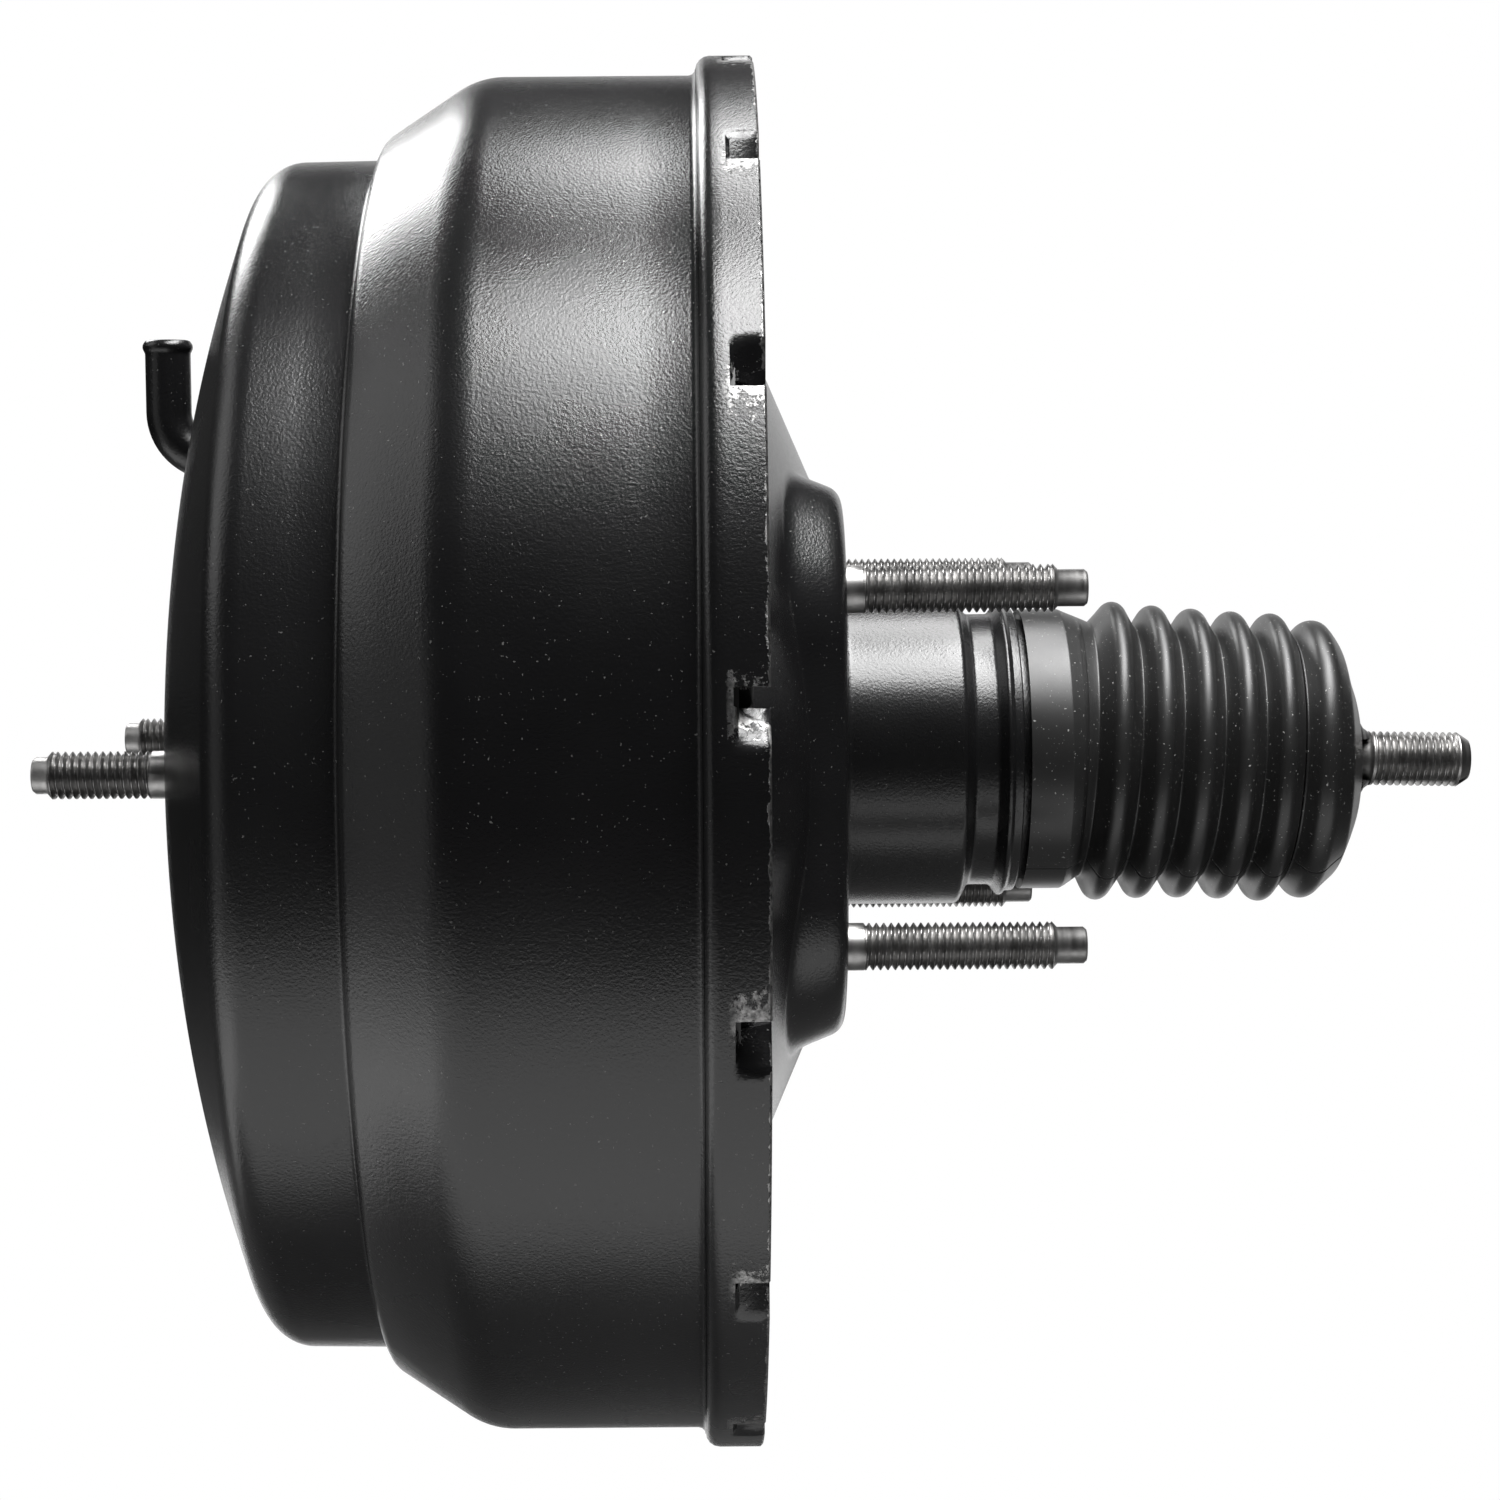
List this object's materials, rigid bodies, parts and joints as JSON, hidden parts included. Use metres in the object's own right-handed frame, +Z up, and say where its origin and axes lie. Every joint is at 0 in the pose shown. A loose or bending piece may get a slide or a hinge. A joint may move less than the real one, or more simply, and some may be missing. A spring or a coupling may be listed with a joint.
{
  "type": "brake booster",
  "caption": "Tandem vacuum brake booster: stepped round steel housing with mounting studs, elbow hose port, bellows dust boot and ball-jointed push rod.",
  "frame": {"origin": "centre of the rear mounting face, on the push-rod axis", "axes": "+X along the push rod towards the pedal, +Z up, vacuum port to +Y and +Z of the axis at the front"},
  "size_m": [0.2501, 0.2452, 0.2452],
  "materials": {
    "black_paint": "satin black paint over steel, slightly rippled, chipped to bright metal at the rim tabs",
    "zinc_steel": "zinc-plated pressed steel",
    "stud_steel": "dark rolled-thread steel",
    "rod_steel": "grey plated steel with a rolled thread",
    "machined_steel": "turned steel",
    "spring_steel": "hardened spring steel",
    "seal_rubber": "smooth moulded rubber",
    "boot_rubber": "matt dark grey rubber with dust specks",
    "guide_plastic": "natural bearing plastic",
    "valve_plastic": "dark moulded thermoset",
    "filter_foam": "open-cell grey foam"
  },
  "bodies": {
    "housing": {"front_shell": "black_paint", "rear_shell": "black_paint", "front_plate": "zinc_steel", "divider": "zinc_steel", "rear_studs": "stud_steel", "front_studs": "stud_steel", "vacuum_pipe": "black_paint", "rod_seal": "seal_rubber", "neck_guide": "guide_plastic", "neck_seal": "seal_rubber", "neck_seal_retainer": "zinc_steel", "divider_seal": "seal_rubber", "divider_bush": "guide_plastic", "return_spring": "spring_steel", "dust_boot": "boot_rubber"},
    "power_piston": {"valve_body": "valve_plastic", "front_diaphragm_plate": "zinc_steel", "front_diaphragm": "seal_rubber", "rear_diaphragm_plate": "zinc_steel", "rear_diaphragm": "seal_rubber", "front_plate_retainer": "spring_steel", "rear_plate_retainer": "spring_steel", "stop_key": "spring_steel", "reaction_disc": "seal_rubber", "output_rod": "machined_steel", "output_screw": "machined_steel", "output_rod_retainer": "spring_steel", "poppet_valve": "seal_rubber", "poppet_spring": "spring_steel", "poppet_retainer": "zinc_steel", "rod_spring": "spring_steel", "air_filter": "filter_foam"},
    "input_plunger": {"valve_plunger": "machined_steel"},
    "push_rod": {"input_rod": "rod_steel"}
  },
  "joints": [
    {"name": "piston_slide", "type": "slide", "parent": "housing", "child": "power_piston", "axis": [-1, 0, 0], "range_m": [0, 0.0266], "stiffness_N_per_m": 3000, "springref_m": -0.05, "deforming": ["return_spring", "front_diaphragm", "rear_diaphragm"]},
    {"name": "input_slide", "type": "slide", "parent": "housing", "child": "input_plunger", "axis": [-1, 0, 0], "range_m": [0, 0.028], "deforming": ["dust_boot", "rod_spring", "poppet_spring"]},
    {"name": "rod_swing", "type": "hinge", "parent": "input_plunger", "child": "push_rod", "pos_m": [-0.008, 0, 0], "axis": [0, 1, 0], "range_deg": [-3.2, 0.8]}
  ],
  "couplings": [
    {"joint": "input_slide", "follows": "piston_slide", "ratio": 1.0526}
  ]
}
